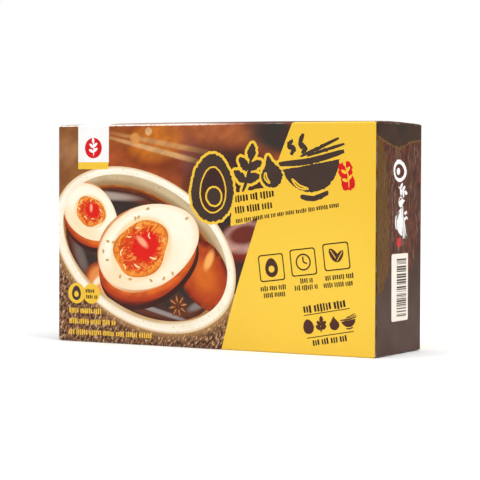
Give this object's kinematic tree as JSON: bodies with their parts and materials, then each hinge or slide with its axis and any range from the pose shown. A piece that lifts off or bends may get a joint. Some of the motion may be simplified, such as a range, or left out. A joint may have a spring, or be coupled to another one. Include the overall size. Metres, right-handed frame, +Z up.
{
  "type": "shut folding carton for marinated soft-boiled eggs",
  "caption": "Shut paperboard folding carton standing on its long narrow side, with a tucked closing flap at each small end and a printed, varnished face.",
  "frame": {"origin": "middle of the base, on the surface that the carton stands on", "axes": "+Z up, +X along the carton's length towards the end with the barcode patch, -Y out of the front panel"},
  "size_m": [0.208, 0.0594, 0.1283],
  "materials": {
    "printed_board": "varnished print, semi-gloss"
  },
  "bodies": {
    "root": {"carton": "printed_board"}
  },
  "joints": []
}
